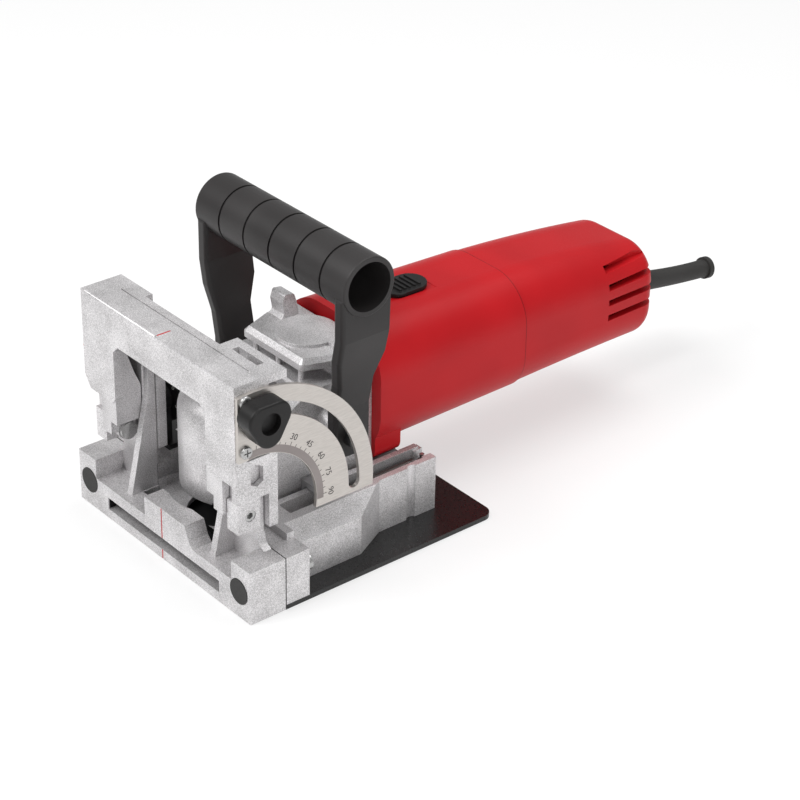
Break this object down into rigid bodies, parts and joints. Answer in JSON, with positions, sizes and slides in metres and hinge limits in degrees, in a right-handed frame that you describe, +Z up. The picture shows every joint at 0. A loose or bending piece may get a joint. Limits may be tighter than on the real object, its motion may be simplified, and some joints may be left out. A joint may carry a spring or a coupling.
{
  "type": "biscuit joiner",
  "caption": "Hand-held plate joiner: red motor housing and black bail handle on a sprung slide, round slotting blade in a cast base, swivelling fence with an angle quadrant.",
  "frame": {"origin": "underside of the sole, straight below the spindle axis with the motor unit at rest", "axes": "+Z up; -Y towards the work, +Y along the motor to the cord; +X the side that carries the angle quadrant"},
  "size_m": [0.1582, 0.3686, 0.1585],
  "materials": {
    "cast_alloy": "cast, lightly blasted",
    "machined_alloy": "machined",
    "red_housing": "moulded, satin gloss",
    "red_trim": "moulded, gloss",
    "black_grip": "fine grain moulded",
    "black_switch": "matt moulded",
    "black_sole": "black enamel",
    "black_rubber": "matt",
    "quadrant_steel": "satin with printed scale",
    "steel": "satin",
    "black_steel": "black oxide",
    "spring_steel": "coiled wire",
    "red_mark": "filled line",
    "black_nylon": "moulded",
    "blade_steel": "black low-friction coating",
    "carbide": "ground tips",
    "copper": "wound wire",
    "laminations": "stacked sheet",
    "carbon": "pressed carbon",
    "brass": "stamped"
  },
  "bodies": {
    "base": {"front_casting": "cast_alloy", "center_line": "red_mark", "antislip_pads": "black_rubber", "slide_housing": "cast_alloy", "housing_bolts": "steel", "sole_plate": "black_sole", "sole_screws": "black_steel", "dust_outlet": "black_nylon", "spring_anchor_pins": "steel", "return_spring_left": "spring_steel", "return_spring_right": "spring_steel", "dial_post": "black_nylon", "dial_axle": "steel"},
    "depth_dial": {"depth_dial": "black_nylon"},
    "height_slide": {"height_carriage": "cast_alloy", "pivot_screws": "steel"},
    "fence": {"fence": "cast_alloy", "fence_mark": "red_mark", "angle_quadrant": "quadrant_steel", "quadrant_screws": "steel"},
    "angle_clamp": {"clamp_knob": "black_switch", "clamp_washer": "steel", "clamp_stud": "steel"},
    "height_clamp": {"height_knob": "red_trim", "height_stud": "steel"},
    "motor_unit": {"slide_plate": "machined_alloy", "lower_bearing": "steel", "upper_bearing": "steel", "gear_head": "cast_alloy", "gear_head_cover": "cast_alloy", "depth_stop_screw": "black_steel", "main_handle": "black_grip", "handle_screws": "black_steel", "motor_front_shell": "red_housing", "motor_rear_shell": "red_housing", "strain_relief": "black_rubber", "switch_block": "black_switch", "front_bearing": "steel", "rear_bearing": "steel", "rear_bearing_plate": "black_nylon", "field_stator": "laminations", "brush_holders": "brass", "carbon_brushes": "carbon"},
    "armature": {"armature_shaft": "steel", "armature_core": "laminations", "armature_winding": "copper", "commutator": "brass", "fan": "black_nylon", "pinion": "steel"},
    "spindle": {"spindle": "steel", "blade": "blade_steel", "blade_teeth": "carbide", "blade_flange": "steel", "blade_nut": "black_steel", "crown_gear": "steel"},
    "switch": {"switch_button": "black_switch"},
    "spindle_lock": {"spindle_lock": "red_trim"}
  },
  "joints": [
    {"name": "plunge", "type": "slide", "parent": "base", "child": "motor_unit", "axis": [0, -1, 0], "range_m": [0, 0.0165], "stiffness_N_per_m": 600, "springref_m": -0.01, "deforming": ["return_spring_left", "return_spring_right"]},
    {"name": "depth_dial_turn", "type": "hinge", "parent": "base", "child": "depth_dial", "pos_m": [-0.0446, -0.0179, 0.0575], "axis": [0, 1, 0], "continuous": true},
    {"name": "fence_height", "type": "slide", "parent": "base", "child": "height_slide", "axis": [0, 0, 1], "range_m": [-0.01, 0.014]},
    {"name": "fence_tilt", "type": "hinge", "parent": "height_slide", "child": "fence", "pos_m": [0, -0.0423, 0.0489], "axis": [1, 0, 0], "range_deg": [0, 90]},
    {"name": "angle_clamp_turn", "type": "hinge", "parent": "height_slide", "child": "angle_clamp", "pos_m": [0.0625, -0.0423, 0.1049], "axis": [1, 0, 0], "range_deg": [0, 180]},
    {"name": "height_clamp_turn", "type": "hinge", "parent": "height_slide", "child": "height_clamp", "pos_m": [-0.061, -0.0345, 0.0865], "axis": [-1, 0, 0], "range_deg": [0, 180]},
    {"name": "armature_spin", "type": "hinge", "parent": "motor_unit", "child": "armature", "pos_m": [0, 0.1, 0.0645], "axis": [0, 1, 0], "continuous": true},
    {"name": "spindle_spin", "type": "hinge", "parent": "motor_unit", "child": "spindle", "pos_m": [0, 0, 0.0084], "axis": [0, 0, 1], "continuous": true},
    {"name": "switch_slide", "type": "slide", "parent": "motor_unit", "child": "switch", "axis": [0, -1, 0], "range_m": [0, 0.005]},
    {"name": "spindle_lock_press", "type": "slide", "parent": "motor_unit", "child": "spindle_lock", "axis": [1, 0, 0], "range_m": [0, 0.0035], "stiffness_N_per_m": 300}
  ],
  "couplings": [
    {"joint": "spindle_spin", "follows": "armature_spin", "ratio": 0.34375}
  ]
}
